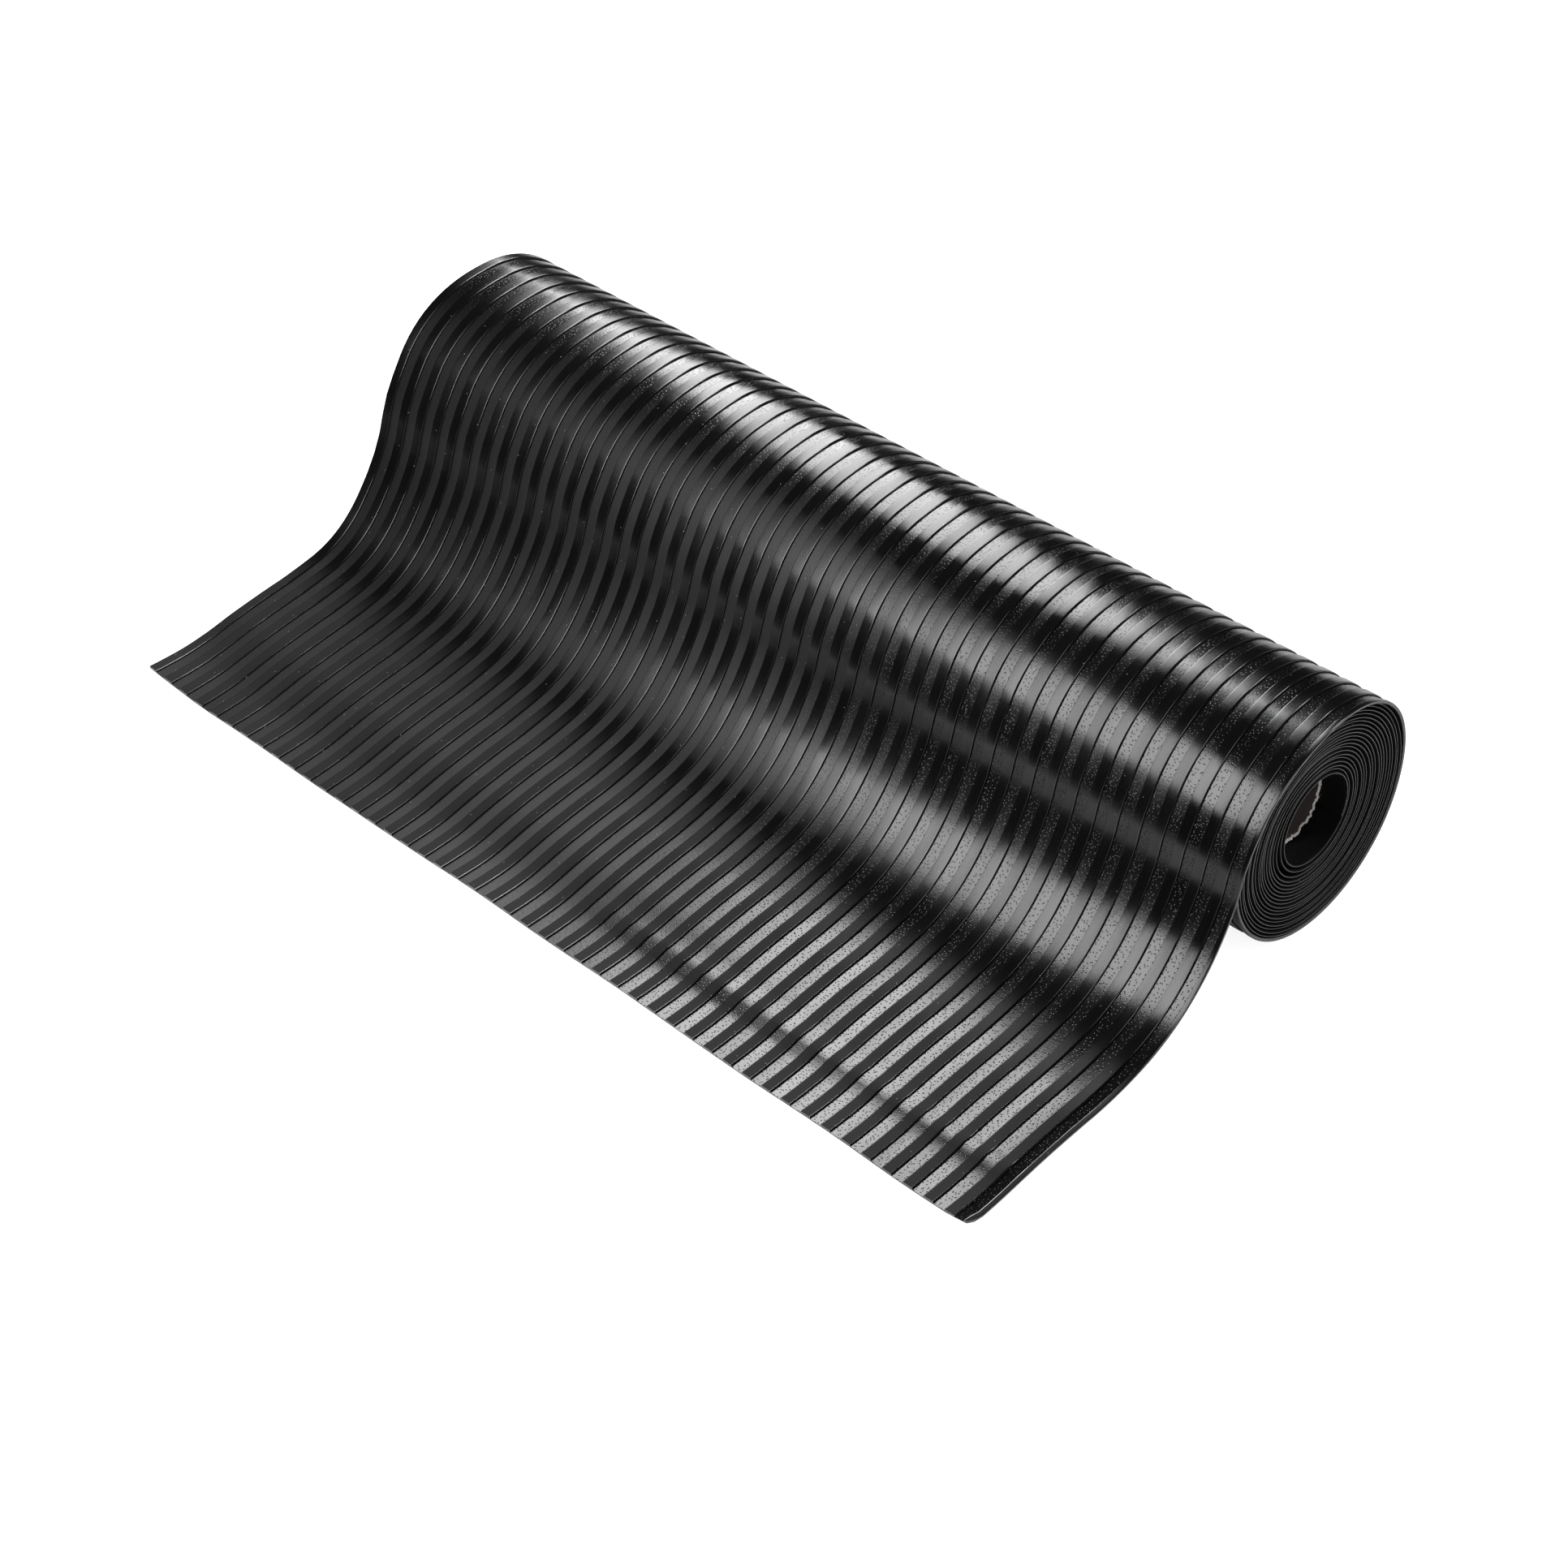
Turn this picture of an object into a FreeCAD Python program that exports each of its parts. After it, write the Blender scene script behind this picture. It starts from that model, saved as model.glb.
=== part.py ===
import FreeCAD, Part
import Sketcher
import math
import os

# Ribbed rubber runner mat, partly unrolled from a cardboard core.
# Millimetres. X runs across the mat along the roll's axis, Z is up, and the free end lies
# flat towards -Y. The origin is on the floor, in the middle of the whole mat's footprint.

# Driving sizes
SIZES = [
    ("mat_width", 1000.0, "width of the matting, and length of the roll"),
    ("sheet_thickness", 3.0, "thickness over the ribs"),
    ("rib_height", 1.0, "depth of the grooves between the ribs"),
    ("rib_pitch", 21.7, "one rib and one groove"),
    ("groove_width", 11.2, "width of a groove between two ribs"),
    ("edge_strip", 4.5, "plain strip along each long edge"),
    ("edge_groove", 2.0, "narrow groove inside each edge strip"),
    ("turn_gap", 0.38, "air between one turn and the next"),
    ("turns", 20.5, "turns wound on the core"),
    ("flats_per_turn", 24.0, "flats that make up one turn, for a small facet count"),
    ("drape_angle", 65.0, "steepness of the sheet where it leaves the roll, in degrees"),
    ("bend_radius", 170.0, "radius under the sheet where it bends on to the floor"),
    ("bend_flats", 3.0, "flats that make up that bend"),
    ("flat_length", 160.0, "length that lies flat, from the bend to the cut edge"),
    ("core_bore", 70.0, "bore of the cardboard core"),
    ("core_wall", 3.5, "wall of the cardboard core"),
    ("core_recess", 43.0, "distance from the roll's end to the core's end"),
    ("core_clearance", 0.4, "air between the core and the first turn"),
    ("recess_step", 3.6, "how much deeper each dished group of turns sits at the right end"),
    ("recess_groups", 4.0, "groups of turns in that dished end"),
    ("turns_per_group", 4.0, "turns in each of those groups"),
]

# Angles in degrees, measured in the Y-Z plane
UP = 90.0
DOWN = -90.0
FULL_TURN = 360.0

# How far a cut reaches past what it cuts
CUT_OVERSHOOT = 1.0

# Sketcher's numbers for a circle's centre and for its own vertical axis
CENTRE_POINT_NUMBER = 3
VERTICAL_AXIS_NUMBER = -2

# A circle's radius before its size is bound to the table
START_RADIUS = 1.0

doc = FreeCAD.newDocument("RibbedRunnerMat")


def make_sheet():
    """The table of driving sizes: a value, its name and what it means on each row."""
    table = doc.addObject("Spreadsheet::Sheet", "Sizes")
    for row, (name, value, meaning) in enumerate(SIZES, start=1):
        table.set(f"A{row}", str(value))
        table.setAlias(f"A{row}", name)
        table.set(f"B{row}", meaning)
    doc.recompute()
    return table


sizes = make_sheet()


# The path of the sheet, as a chain of flats from the cut edge to the core


def normal(angle):
    """Unit vector in the Y-Z plane, at this many degrees from +Y towards +Z."""
    turned = math.radians(angle)
    return math.cos(turned), math.sin(turned)


class SheetPath:
    """The mat seen from its side: flats, each with the angle of its ribbed side's normal and
    the distance of its smooth side from the roll's axis. Neighbouring flats meet in a corner."""

    def __init__(self):
        self.thickness = sizes.sheet_thickness
        step = FULL_TURN / sizes.flats_per_turn
        turn_pitch = sizes.sheet_thickness + sizes.turn_gap
        first_radius = sizes.core_bore / 2 + sizes.core_wall + sizes.core_clearance
        leave_angle = UP + sizes.drape_angle
        count = round(sizes.turns * sizes.flats_per_turn)

        # A flat faces straight down where the roll rests, so the last whole flat before the
        # sheet leaves the roll is a whole number of steps past it.
        past_floor = math.floor((leave_angle - DOWN - step / 2) / step)
        last_angle = DOWN + past_floor * step

        def roll_flat(index):
            """The wound flat with this number, counted from the core."""
            angle = last_angle - (count - 1 - index) * step
            return angle, first_radius + turn_pitch * index / sizes.flats_per_turn

        wound = [roll_flat(index) for index in range(count)]
        floor_index = count - 1 - past_floor
        self.axis_height = wound[floor_index][1] + self.thickness

        # Where the sheet leaves the roll it passes clear of the corners of the turn below.
        self.half_step = math.radians(step / 2)
        below = roll_flat(count - 1 + (leave_angle - FULL_TURN - last_angle) / step)[1]
        lift = (below + self.thickness) / math.cos(self.half_step) + sizes.turn_gap
        leaving = (leave_angle, lift)

        # The bend's centre lies over the sheet, where an arc that touches the floor also
        # touches the sheet that slopes down from the roll.
        radius = sizes.bend_radius
        across, up = normal(leave_angle)
        rise = radius - self.axis_height
        self.bend_y = (leaving[1] + radius - up * rise) / across
        bend = []
        for number in range(int(sizes.bend_flats) + 1):
            angle = UP + sizes.drape_angle * number / (sizes.bend_flats + 1)
            across, up = normal(angle)
            bend.append((angle, across * self.bend_y + up * rise - radius))

        self.flats = bend + [leaving] + wound[::-1]
        self.ribbed_flats = len(bend) + 1 + past_floor
        self.first_wound = len(bend) + 1
        self.front_y = self.bend_y - sizes.flat_length
        back_index = floor_index + round(sizes.flats_per_turn / 4)
        self.back_y = wound[back_index][1] + self.thickness

    def corner(self, index, offset):
        """Where two neighbouring flats meet, at this height above the smooth side."""
        (angle_a, near_a), (angle_b, near_b) = self.flats[index], self.flats[index + 1]
        (ya, za), (yb, zb) = normal(angle_a), normal(angle_b)
        reach_a = near_a + offset
        reach_b = near_b + offset
        cross = ya * zb - za * yb
        y = (reach_a * zb - reach_b * za) / cross
        z = (ya * reach_b - yb * reach_a) / cross
        return y, z + self.axis_height

    def inner_end(self, offset):
        """The square-cut end of the first turn, which lies on the core."""
        angle, near = self.flats[-1]
        across, up = normal(angle)
        back = near * math.tan(self.half_step)
        reach = near + offset
        return across * reach + up * back, up * reach - across * back + self.axis_height

    def line(self, offset, corners):
        """The first so many corners at this height above the smooth side."""
        return [self.corner(index, offset) for index in range(corners)]

    def sheet_outline(self):
        """The cut section of the whole sheet, at the height of the ribs."""
        corners = len(self.flats) - 1
        under = [(self.front_y, 0.0)] + self.line(0.0, corners) + [self.inner_end(0.0)]
        over = [(self.front_y, self.thickness)] + self.line(self.thickness, corners)
        over.append(self.inner_end(self.thickness))
        return under + over[::-1]

    def groove_outline(self):
        """What one groove takes away, from past the cut edge to where the roll meets the
        floor."""
        floor = self.thickness - sizes.rib_height
        above = self.thickness + CUT_OVERSHOOT
        front = self.front_y - CUT_OVERSHOOT
        under = [(front, floor)] + self.line(floor, self.ribbed_flats)
        over = [(front, above)] + self.line(above, self.ribbed_flats)
        return under + over[::-1]

    def turn_outline(self, turns_in):
        """One turn's way round in the air over the sheet, this many turns in from the outside.
        Its last side crosses the sheet, which is how a spiral can be closed."""
        flats = int(sizes.flats_per_turn)
        start = self.first_wound + round(turns_in * flats)
        middle = self.thickness + sizes.turn_gap / 2
        return [self.corner(index, middle) for index in range(start, start + flats)]


path = SheetPath()
MIDDLE_Y = (path.front_y + path.back_y) / 2


# Helpers for bodies and sketches


def make_body(label):
    """An empty body whose origin is the footprint's middle."""
    body = doc.addObject("PartDesign::Body", label)
    body.Label = label
    body.Placement = FreeCAD.Placement(FreeCAD.Vector(0, -MIDDLE_Y, 0), FreeCAD.Rotation())
    return body


def origin_feature(body, role):
    """The body's own plane or axis with this role."""
    return next(item for item in body.Origin.OriginFeatures if item.Role == role)


def side_sketch(body, name, place=None):
    """A sketch seen along the roll's axis, at the place across the mat that the text names."""
    sketch = body.newObject("Sketcher::SketchObject", name)
    sketch.AttachmentSupport = [(origin_feature(body, "YZ_Plane"), "")]
    sketch.MapMode = "FlatFace"
    if place:
        sketch.setExpression("AttachmentOffset.Base.z", place)
    return sketch


def draw_outline(sketch, points):
    """A closed chain of straight lines through the points."""
    corners = [FreeCAD.Vector(y, z, 0) for y, z in points]
    sides = zip(corners, corners[1:] + corners[:1])
    sketch.addGeometry([Part.LineSegment(start, end) for start, end in sides], False)


def draw_circle(sketch, centre, diameter):
    """A circle round this point, whose diameter follows the named sizes."""
    circle = Part.Circle(centre, FreeCAD.Vector(0, 0, 1), START_RADIUS)
    index = sketch.addGeometry(circle, False)
    on_axis = Sketcher.Constraint("PointOnObject", index, CENTRE_POINT_NUMBER,
                                   VERTICAL_AXIS_NUMBER)
    sketch.addConstraint(on_axis)
    height = Sketcher.Constraint("DistanceY", index, CENTRE_POINT_NUMBER, centre.y)
    sketch.addConstraint(height)
    across = Sketcher.Constraint("Diameter", index, 2 * START_RADIUS)
    number = sketch.addConstraint(across)
    sketch.setExpression(f"Constraints[{number}]", diameter)


def both_ways(body, kind, name, sketch, length):
    """A pad or pocket that reaches the same way to both sides of its sketch."""
    feature = body.newObject(f"PartDesign::{kind}", name)
    feature.Profile = sketch
    feature.SideType = "Symmetric"
    feature.Refine = False
    feature.setExpression("Length", length)
    return feature


def repeat_across(body, name, feature, pitch, count):
    """Copies of a feature in a row across the mat."""
    pattern = body.newObject("PartDesign::LinearPattern", name)
    pattern.Originals = [feature]
    pattern.Direction = (origin_feature(body, "X_Axis"), [""])
    pattern.Mode = "Spacing"
    pattern.setExpression("Offset", pitch)
    pattern.Occurrences = count
    pattern.Refine = False
    body.Tip = pattern


# The mat: the whole sheet with its turns, then the grooves that leave the ribs standing


def make_mat():
    """The ribbed matting, one piece from the cut edge to the core."""
    body = make_body("ribbed_mat")
    outline = side_sketch(body, "SheetSection")
    draw_outline(outline, path.sheet_outline())
    both_ways(body, "Pad", "Sheet", outline, "Sizes.mat_width")

    inset = "Sizes.edge_strip + Sizes.edge_groove / 2"
    edge = side_sketch(body, "EdgeGrooveSection", f"{inset} - Sizes.mat_width / 2")
    draw_outline(edge, path.groove_outline())
    edge_groove = both_ways(body, "Pocket", "EdgeGroove", edge, "Sizes.edge_groove")
    repeat_across(body, "EdgeGrooves", edge_groove, f"Sizes.mat_width - 2 * ({inset})", 2)

    rib_width = sizes.rib_pitch - sizes.groove_width
    between_edges = sizes.mat_width - 2 * (sizes.edge_strip + sizes.edge_groove)
    grooves = math.floor((between_edges - rib_width) / sizes.rib_pitch)
    first = side_sketch(body, "GrooveSection", f"-Sizes.rib_pitch * {grooves - 1} / 2")
    draw_outline(first, path.groove_outline())
    groove = both_ways(body, "Pocket", "Groove", first, "Sizes.groove_width")
    repeat_across(body, "Grooves", groove, "Sizes.rib_pitch", grooves)
    dish_right_end(body)
    return body


def dish_right_end(body):
    """Sinks the inner turns at the right end, each group deeper than the one outside it."""
    for group in range(int(sizes.recess_groups)):
        place = f"Sizes.mat_width / 2 - Sizes.recess_step * {group}"
        section = side_sketch(body, f"DishSection{group + 1}", place)
        draw_outline(section, path.turn_outline(1 + group * sizes.turns_per_group))
        dish = body.newObject("PartDesign::Pocket", f"Dish{group + 1}")
        dish.Profile = section
        dish.Refine = False
        dish.setExpression("Length", "Sizes.recess_step")
        body.Tip = dish


# The core: a plain cardboard tube, shorter than the roll


def make_core():
    """The cardboard tube that the first turn is wound on."""
    body = make_body("core_tube")
    section = side_sketch(body, "TubeSection")
    centre = FreeCAD.Vector(0, path.axis_height, 0)
    draw_circle(section, centre, "Sizes.core_bore + 2 * Sizes.core_wall")
    draw_circle(section, centre, "Sizes.core_bore")
    both_ways(body, "Pad", "Tube", section, "Sizes.mat_width - 2 * Sizes.core_recess")
    return body


def check_and_write(bodies):
    """Stop on a failed object or a broken solid, then write one file for each piece."""
    doc.recompute()
    for item in doc.Objects:
        if "Invalid" in item.State or "Error" in item.State:
            raise RuntimeError(f"{item.Label} failed: {item.State}")
    for body in bodies:
        if body.Shape.isNull() or not body.Shape.isValid() or len(body.Shape.Solids) != 1:
            raise RuntimeError(f"{body.Label} isn't one sound solid")
    os.makedirs("parts", exist_ok=True)
    for body in bodies:
        body.Shape.exportStep(f"parts/{body.Label}.step")


check_and_write([make_mat(), make_core()])
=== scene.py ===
"""Looks of a ribbed rubber runner mat, partly unrolled from its cardboard core.

Metres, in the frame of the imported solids: X runs along the roll and across the mat, Z is up and
the free end lies flat towards -Y. The mat is drawn as two meshes, the ribbed run that shows and
the turns wound under it. Each is modelled flat, as the matting is moulded, and then rolled up.

Angles round the roll are degrees from +Y towards +Z. They are unwound, so an angle falls by 360
with each turn inwards. A share runs from 0 at the mat's left edge to 1 at its right one.
"""

import logging
import math
from collections.abc import Callable
from dataclasses import dataclass, field
from enum import Enum

import bmesh
import bpy
import numpy as np
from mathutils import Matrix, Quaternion, Vector, noise

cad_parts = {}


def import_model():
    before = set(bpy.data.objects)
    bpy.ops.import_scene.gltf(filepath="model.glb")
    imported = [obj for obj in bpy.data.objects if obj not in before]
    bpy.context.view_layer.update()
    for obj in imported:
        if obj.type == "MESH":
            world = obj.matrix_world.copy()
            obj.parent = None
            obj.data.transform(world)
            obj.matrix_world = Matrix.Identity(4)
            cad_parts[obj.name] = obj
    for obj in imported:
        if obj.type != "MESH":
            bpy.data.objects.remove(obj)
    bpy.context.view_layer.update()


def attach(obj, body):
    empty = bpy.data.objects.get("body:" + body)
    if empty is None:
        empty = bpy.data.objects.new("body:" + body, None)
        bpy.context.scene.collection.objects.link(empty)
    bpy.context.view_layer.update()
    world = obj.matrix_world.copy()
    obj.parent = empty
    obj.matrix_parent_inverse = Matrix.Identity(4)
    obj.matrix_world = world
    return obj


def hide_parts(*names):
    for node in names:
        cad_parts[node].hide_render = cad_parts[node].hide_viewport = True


LOG = logging.getLogger("runner_mat")
MM = 0.001
ROOT = "root"
FLAT_MAP = "flat"
TURN = 360.0
UPWARDS = 90.0

# Where the ribbed run ends, out of sight under the drape, and the inner turns begin
RIBBED_END = -203.0

# Edges sharper than these many degrees are drawn as sharp
SHEET_SHARP = 50.0
CORE_SHARP = 40.0

# Places in the noise, one for each use, so that no two of them look alike
RIPPLE_SEED = 1.3
WANDER_SEED = 3.7
TEAR_SEED = 5.0
FRONT_SEED = 7.7
LEFT_SIDE_SEED = 9.1

# The colour sockets of a Mix node by number, because its sockets share their names
MIX_FACTOR, MIX_A, MIX_B, MIX_RESULT = 0, 6, 7, 2

# The same for its number sockets
NUMBER_FACTOR, NUMBER_A, NUMBER_B, NUMBER_RESULT = 0, 2, 3, 0

WHITE = (1.0, 1.0, 1.0, 1.0)


class Face(Enum):
    """What a face of the matting is, in the order of the material slots."""

    RIB = 0
    GROOVE = 1
    SMOOTH = 2
    # Cut faces: drawn pale grey, a painted highlight along the sheet's edges
    CUT = 3
    EDGE = 4


def smooth(value: float, low: float, high: float) -> float:
    """Smooth step.

    Args:
        value: The number to judge.
        low: Where the result is 0.
        high: Where the result is 1.

    Returns:
        A number from 0 to 1.
    """
    t = min(max((value - low) / (high - low), 0.0), 1.0)
    return t * t * (3.0 - 2.0 * t)


@dataclass(frozen=True)
class Matting:
    """The moulded section of the matting."""

    width: float = 1000 * MM
    thickness: float = 3.0 * MM
    rib_height: float = 1.7 * MM
    rib_pitch: float = 21.7 * MM
    groove_width: float = 11.2 * MM
    rib_shift: float = -7.0 * MM
    edge_strip: float = 4.5 * MM
    edge_groove: float = 9.0 * MM
    fillet: float = 0.75 * MM
    # How far the middle of a fillet lies in from both sides, as a share of the fillet
    fillet_middle: float = 0.3
    draft: float = 0.15 * MM
    # Points along the smooth side, about one for each rib
    back_points: int = 48

    def lands(self) -> list[tuple[float, float]]:
        """The raised parts from left to right: the ribs, then a thin strip at the right edge.

        Returns:
            The left and right side of each raised part.
        """
        half = self.width / 2
        inner = half - self.edge_strip - self.edge_groove
        grooves = math.floor((2 * half - self.rib_pitch) / self.rib_pitch)
        centres = [(n - (grooves - 1) / 2) * self.rib_pitch + self.rib_shift for n in range(grooves)]
        sides = [-half]
        for centre in centres:
            sides += [centre - self.groove_width / 2, centre + self.groove_width / 2]
        sides.append(inner)
        ribs = list(zip(sides[::2], sides[1::2]))
        return ribs + [(half - self.edge_strip, half)]

    def section(self) -> tuple[list[tuple[float, float]], list[Face]]:
        """The closed outline across the mat, and what each side of it is.

        Returns:
            Points (across, height), and the face that starts at each point.
        """
        top, floor, fillet = self.thickness, self.thickness - self.rib_height, self.fillet
        middle = fillet * self.fillet_middle
        lands = self.lands()
        points: list[tuple[float, float]] = []
        kinds: list[Face] = []

        def put(x: float, height: float, kind: Face) -> None:
            """Adds a point, and the face that starts there."""
            points.append((x, height))
            kinds.append(kind)

        for number, (start, end) in enumerate(lands):
            outer_left, outer_right = number == 0, number == len(lands) - 1
            if outer_left:
                put(start, fillet, Face.CUT)
            else:
                put(start - self.draft, floor, Face.SMOOTH)
            put(start, top - fillet, Face.EDGE)
            put(start + middle, top - middle, Face.EDGE)
            put(start + fillet, top, Face.RIB)
            put(end - fillet, top, Face.EDGE)
            put(end - middle, top - middle, Face.EDGE)
            put(end, top - fillet, Face.CUT if outer_right else Face.SMOOTH)
            if outer_right:
                put(end, fillet, Face.CUT)
            else:
                put(end + self.draft, floor, Face.GROOVE)
        half = self.width / 2
        for x in np.linspace(half - fillet, fillet - half, self.back_points):
            put(float(x), 0.0, Face.SMOOTH)
        kinds[-1] = Face.CUT
        return points, kinds


@dataclass(frozen=True)
class Roll:
    """The wound turns, as a spiral of the matting's smooth side round the axis."""

    axis_y: float = 164.886 * MM
    axis_z: float = 108.937 * MM
    floor_radius: float = 105.937 * MM
    pitch: float = 3.38 * MM
    core_angle: float = -7230.0

    # The inner turns hang loose towards the front, by turns out from the core
    loose_gap: float = 4.2 * MM
    loose_rise: tuple[float, float] = (0.6, 3.6)
    loose_end: float = 19.0
    loose_fade: float = 15.4
    loose_side: float = 205.0
    loose_sharpness: float = 1.5

    # The right end is wound askew and dished
    askew: float = 12.5 * MM
    askew_span: tuple[float, float] = (-125.0, 20.0)
    dish_start: float = -205.0
    dish: float = 5.0 * MM
    dish_turns: float = 21.0
    dish_curve: float = 0.8
    wander: float = 1.6 * MM
    wander_angle: float = 210.0

    def radius(self, angle: float) -> float:
        """Distance of the smooth side from the axis.

        Args:
            angle: Unwound degrees round the roll.

        Returns:
            The radius in metres.
        """
        plain = self.floor_radius + self.pitch * (angle + UPWARDS) / TURN
        depth = (angle - self.core_angle) / TURN
        rise = smooth(depth, *self.loose_rise)
        fall = min(max((self.loose_end - depth) / self.loose_fade, 0.0), 1.0)
        front = 0.5 + 0.5 * math.cos(math.radians(angle - self.loose_side))
        return plain + self.loose_gap * rise * fall * front**self.loose_sharpness

    def point(self, angle: float) -> tuple[float, float]:
        """Where the smooth side is at this angle.

        Args:
            angle: Unwound degrees round the roll.

        Returns:
            Y and Z.
        """
        reach = self.radius(angle)
        turned = math.radians(angle)
        return self.axis_y + reach * math.cos(turned), self.axis_z + reach * math.sin(turned)

    def side_shift(self, angle: float) -> float:
        """How far the right edge of the sheet lies in from the mat's width.

        Args:
            angle: Unwound degrees round the roll.

        Returns:
            Metres towards -X.
        """
        outer = self.askew * smooth(-angle, *self.askew_span)
        depth = max((self.dish_start - angle) / TURN, 0.0)
        inner = self.dish * smooth(depth, 0.0, self.dish_turns) ** self.dish_curve
        uneven = noise.noise(Vector((angle / self.wander_angle, WANDER_SEED, 0.0)))
        return outer + inner + uneven * min(depth, 1.0) * self.wander


@dataclass(frozen=True)
class Drape:
    """How one long edge of the sheet comes off the roll and down to the floor."""

    leave: float
    tight_radius: float
    gentle_radius: float
    gentle_slope: float


@dataclass(frozen=True)
class Station:
    """One step along the sheet, at one long edge."""

    y: float
    z: float
    angle: float


@dataclass(frozen=True)
class SheetPath:
    """The side view of the sheet, from its cut edge to where it passes under itself."""

    roll: Roll
    drape: Drape
    front_y: float
    flat_steps: int = 16
    gentle_steps: int = 10
    tight_steps: int = 16
    slope_steps: int = 6
    roll_steps: int = 82

    def stations(self) -> list[Station]:
        """The steps along the smooth side.

        Returns:
            Stations whose count doesn't depend on the drape, so two edges match step by step.
        """
        gentle, tight = self.drape.gentle_radius, self.drape.tight_radius
        low = math.radians(self.drape.gentle_slope)
        high = math.radians(self.drape.leave - UPWARDS)
        leave_y, leave_z = self.roll.point(self.drape.leave)
        drop = tight * (math.cos(low) - math.cos(high)) + gentle * (1 - math.cos(low))
        straight = (leave_z - drop) / math.sin(high)
        run = straight * math.cos(high) + tight * (math.sin(high) - math.sin(low))
        bend_y = leave_y - run - gentle * math.sin(low)

        found = [
            Station(self.front_y + (bend_y - self.front_y) * t, 0.0, UPWARDS)
            for t in np.linspace(0.0, 1.0, self.flat_steps, endpoint=False)
        ]
        for t in np.linspace(0.0, low, self.gentle_steps, endpoint=False):
            y, z = bend_y + gentle * math.sin(t), gentle * (1 - math.cos(t))
            found.append(Station(y, z, UPWARDS + math.degrees(t)))
        tight_y, tight_z = bend_y + gentle * math.sin(low), gentle * (1 - math.cos(low))
        for t in np.linspace(low, high, self.tight_steps, endpoint=False):
            y = tight_y + tight * (math.sin(t) - math.sin(low))
            z = tight_z + tight * (math.cos(low) - math.cos(t))
            found.append(Station(y, z, UPWARDS + math.degrees(t)))
        for t in np.linspace(1.0, 0.0, self.slope_steps, endpoint=False):
            y = leave_y - t * straight * math.cos(high)
            z = leave_z - t * straight * math.sin(high)
            found.append(Station(y, z, self.drape.leave))
        for angle in np.linspace(self.drape.leave, RIBBED_END, self.roll_steps):
            found.append(Station(*self.roll.point(angle), angle))
        return found


@dataclass(frozen=True)
class SoftLie:
    """How the soft sheet departs from its smooth sweep off the roll and over a flat floor.

    A pair of numbers is where a change starts and where it is complete: lengths from the cut
    edge, or shares across the mat.
    """

    half_width: float = 500 * MM

    # The free end: a curled left corner, ripples, and a right edge that stands off the floor
    free_end: tuple[float, float] = (0.16, 0.26)
    corner: float = 6.0 * MM
    corner_across: float = 0.075
    corner_back: float = 0.07
    ripple: float = 0.9 * MM
    ripples_across: float = 9.0
    ripples_along: float = 12.0
    edge: float = 2.0 * MM
    edge_width: float = 16 * MM
    ridge: float = 1.7 * MM
    ridge_at: float = 56 * MM
    ridge_slant: float = 0.02
    ridge_width: float = 8 * MM
    ridge_blend: float = 0.1
    front: float = 3.0 * MM
    front_reach: float = 65 * MM
    front_waves: float = 8.0

    # The drape: two gentle steps of the flat end, then a swell with a kink in it
    step: float = 4.5 * MM
    near_step: tuple[float, float] = (0.03, 0.10)
    far_step: tuple[float, float] = (0.08, 0.20)
    step_loss: float = 0.65
    step_loss_share: tuple[float, float] = (0.55, 0.85)
    swell: float = 13.0 * MM
    swell_loss: float = 8.0 * MM
    swell_rise: tuple[float, float] = (0.20, 0.38)
    swell_fall: tuple[float, float] = (0.42, 0.54)
    kink: float = 0.240
    kink_loss: float = 0.110
    kink_at: float = 0.372
    kink_width: float = 0.034

    # The sheet isn't wound quite straight
    lean_reach: float = 7.0 * MM
    lean_length: float = 0.14
    lean_loss: float = 0.6

    def lift(self, x: float, s: float) -> float:
        """How far the free end stands off the floor, where the rubber isn't quite flat.

        Args:
            x: Place across the mat.
            s: Length from the cut edge.

        Returns:
            Metres.
        """
        corner = max(1.0 - (x + self.half_width) / self.corner_across, 0.0)
        corner *= max(1.0 - s / self.corner_back, 0.0)
        free = 1.0 - smooth(s, *self.free_end)
        droop = smooth(self.half_width - x, 0.0, self.edge_width) * free
        past = (s - self.ridge_at - self.ridge_slant * x) / self.ridge_width
        ridge = self.ridge * math.exp(-(past**2)) * smooth(x, 0.0, self.ridge_blend)
        spot = Vector((x * self.ripples_across, s * self.ripples_along, RIPPLE_SEED))
        ripple = 0.5 + 0.5 * noise.noise(spot)
        wave = max(0.5 + noise.noise(Vector((x * self.front_waves, FRONT_SEED, 0.0))), 0.0)
        front = max(1.0 - s / self.front_reach, 0.0) ** 2 * wave
        loose_edge = (self.edge + ridge + self.front * front) * droop
        return self.corner * corner + self.ripple * ripple * free + loose_edge

    def bulge(self, share: float, s: float) -> float:
        """How far the loose drape stands out from its smooth sweep.

        Args:
            share: Place across the mat.
            s: Length from the cut edge.

        Returns:
            Metres along the sheet's normal.
        """
        flat_end = self.step * (smooth(s, *self.near_step) + smooth(s, *self.far_step))
        flat_end *= 1.0 - self.step_loss * smooth(share, *self.step_loss_share)
        rise = smooth(s, *self.swell_rise)
        loose = flat_end * (1.0 - rise) + (self.swell - self.swell_loss * share) * rise
        loose *= 1.0 - smooth(s, *self.swell_fall)
        past = s - self.kink_at
        kink = (self.kink - self.kink_loss * share) * past
        return loose + kink * math.exp(-((past / self.kink_width) ** 2))

    def lean(self, share: float, s: float) -> float:
        """How far the front of the sheet lies towards the right.

        Args:
            share: Place across the mat.
            s: Length from the cut edge.

        Returns:
            Metres.
        """
        return self.lean_reach * (1.0 - smooth(s, 0.0, self.lean_length)) * (1.0 - self.lean_loss * share)


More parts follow.
